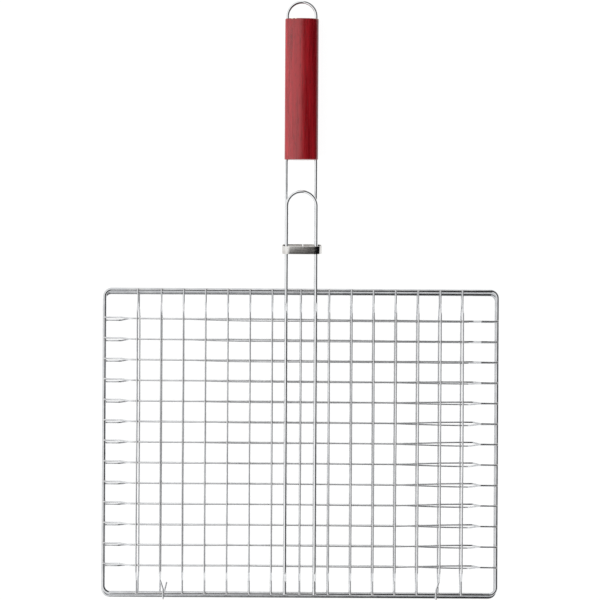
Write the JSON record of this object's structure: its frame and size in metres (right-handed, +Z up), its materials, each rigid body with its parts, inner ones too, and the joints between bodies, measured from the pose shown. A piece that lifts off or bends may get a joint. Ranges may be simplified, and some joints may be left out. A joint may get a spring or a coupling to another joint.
{
  "type": "grill basket",
  "caption": "Flat wire grill basket with a hinged upper grid, a long wooden-gripped handle with a hanging loop, a short upper handle and a sliding lock ring.",
  "frame": {"origin": "middle of the bounding box's underside, on the surface that the closed basket lies on", "axes": "+Y along the handle, from the hinge edge to the hanging loop; +Z up, through the grids; +X to the right"},
  "size_m": [0.4008, 0.6073, 0.0332],
  "materials": {
    "frame_wire": "bright plated steel",
    "grid_wire": "bright plated steel",
    "handle_rod": "bright plated steel",
    "ring_band": "plated sheet steel, faintly brushed",
    "red_wood": "red stain, satin varnish"
  },
  "bodies": {
    "lower_basket": {"lower_frame": "frame_wire", "lower_side_wires": "grid_wire", "lower_cross_wire_01": "grid_wire", "lower_cross_wire_02": "grid_wire", "lower_cross_wire_03": "grid_wire", "lower_cross_wire_04": "grid_wire", "lower_cross_wire_05": "grid_wire", "lower_cross_wire_06": "grid_wire", "lower_cross_wire_07": "grid_wire", "lower_cross_wire_08": "grid_wire", "lower_cross_wire_09": "grid_wire", "lower_cross_wire_10": "grid_wire", "lower_cross_wire_11": "grid_wire", "lower_cross_wire_12": "grid_wire", "lower_cross_wire_13": "grid_wire", "lower_long_wire_02": "grid_wire", "lower_long_wire_03": "grid_wire", "lower_long_wire_04": "grid_wire", "lower_long_wire_05": "grid_wire", "lower_long_wire_06": "grid_wire", "lower_long_wire_07": "grid_wire", "lower_long_wire_08": "grid_wire", "lower_long_wire_09": "grid_wire", "lower_long_wire_10": "grid_wire", "lower_long_wire_11": "grid_wire", "lower_long_wire_12": "grid_wire", "lower_long_wire_13": "grid_wire", "lower_long_wire_14": "grid_wire", "long_handle": "handle_rod", "wooden_grip": "red_wood"},
    "upper_basket": {"upper_frame": "frame_wire", "upper_side_wires": "grid_wire", "upper_cross_wire_01": "grid_wire", "upper_cross_wire_02": "grid_wire", "upper_cross_wire_03": "grid_wire", "upper_cross_wire_04": "grid_wire", "upper_cross_wire_05": "grid_wire", "upper_cross_wire_06": "grid_wire", "upper_cross_wire_07": "grid_wire", "upper_cross_wire_08": "grid_wire", "upper_cross_wire_09": "grid_wire", "upper_cross_wire_10": "grid_wire", "upper_cross_wire_11": "grid_wire", "upper_cross_wire_12": "grid_wire", "upper_cross_wire_13": "grid_wire", "upper_long_wire_03": "grid_wire", "upper_long_wire_04": "grid_wire", "upper_long_wire_05": "grid_wire", "upper_long_wire_06": "grid_wire", "upper_long_wire_07": "grid_wire", "upper_long_wire_08": "grid_wire", "upper_long_wire_09": "grid_wire", "upper_long_wire_10": "grid_wire", "upper_long_wire_11": "grid_wire", "upper_long_wire_12": "grid_wire", "upper_long_wire_13": "grid_wire", "hinge_wire_left": "grid_wire", "hinge_wire_right": "grid_wire", "short_handle": "handle_rod"},
    "lock_ring": {"lock_ring": "ring_band"}
  },
  "joints": [
    {"name": "basket_hinge", "type": "hinge", "parent": "lower_basket", "child": "upper_basket", "pos_m": [-0.00035, -0.29988, 0.01471], "axis": [1, 0, 0], "range_deg": [0, 175]},
    {"name": "ring_slide", "type": "slide", "parent": "lower_basket", "child": "lock_ring", "axis": [0, 1, 0], "range_m": [-0.034, 0.084]}
  ]
}
